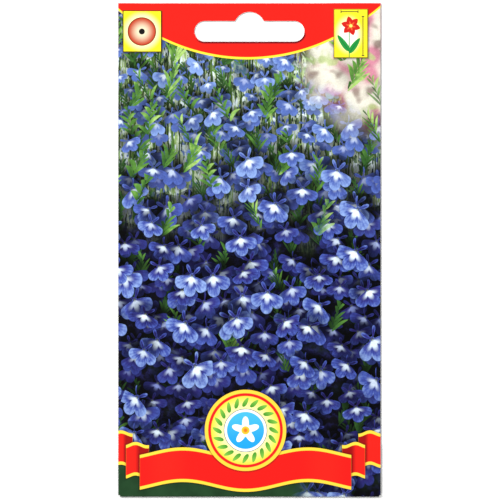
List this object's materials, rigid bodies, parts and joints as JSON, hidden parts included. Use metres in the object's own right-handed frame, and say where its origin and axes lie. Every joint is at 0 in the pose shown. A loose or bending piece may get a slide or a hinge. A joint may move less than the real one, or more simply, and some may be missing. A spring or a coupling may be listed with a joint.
{
  "type": "seed packet",
  "caption": "Flat glued paper packet of fine flower seed with a punched hang slot, a printed front and an inner sachet.",
  "frame": {"origin": "under the middle of the packet, on the surface that its back lies on", "axes": "+X to the right across the printed front, +Y up the packet towards its hang slot, +Z out of the printed front"},
  "size_m": [0.08, 0.1505, 0.0022],
  "materials": {
    "printed_paper": "satin",
    "glue": "satin",
    "sachet_paper": "matte",
    "sachet_film": "gloss",
    "seed": "matte"
  },
  "bodies": {
    "root": {"packet_sheet": "printed_paper", "seam_glue": "glue", "bottom_flap_glue": "glue", "mouth_glue": "glue", "sachet_back": "sachet_paper", "sachet_front": "sachet_film", "seed_bed": "seed"}
  },
  "joints": []
}
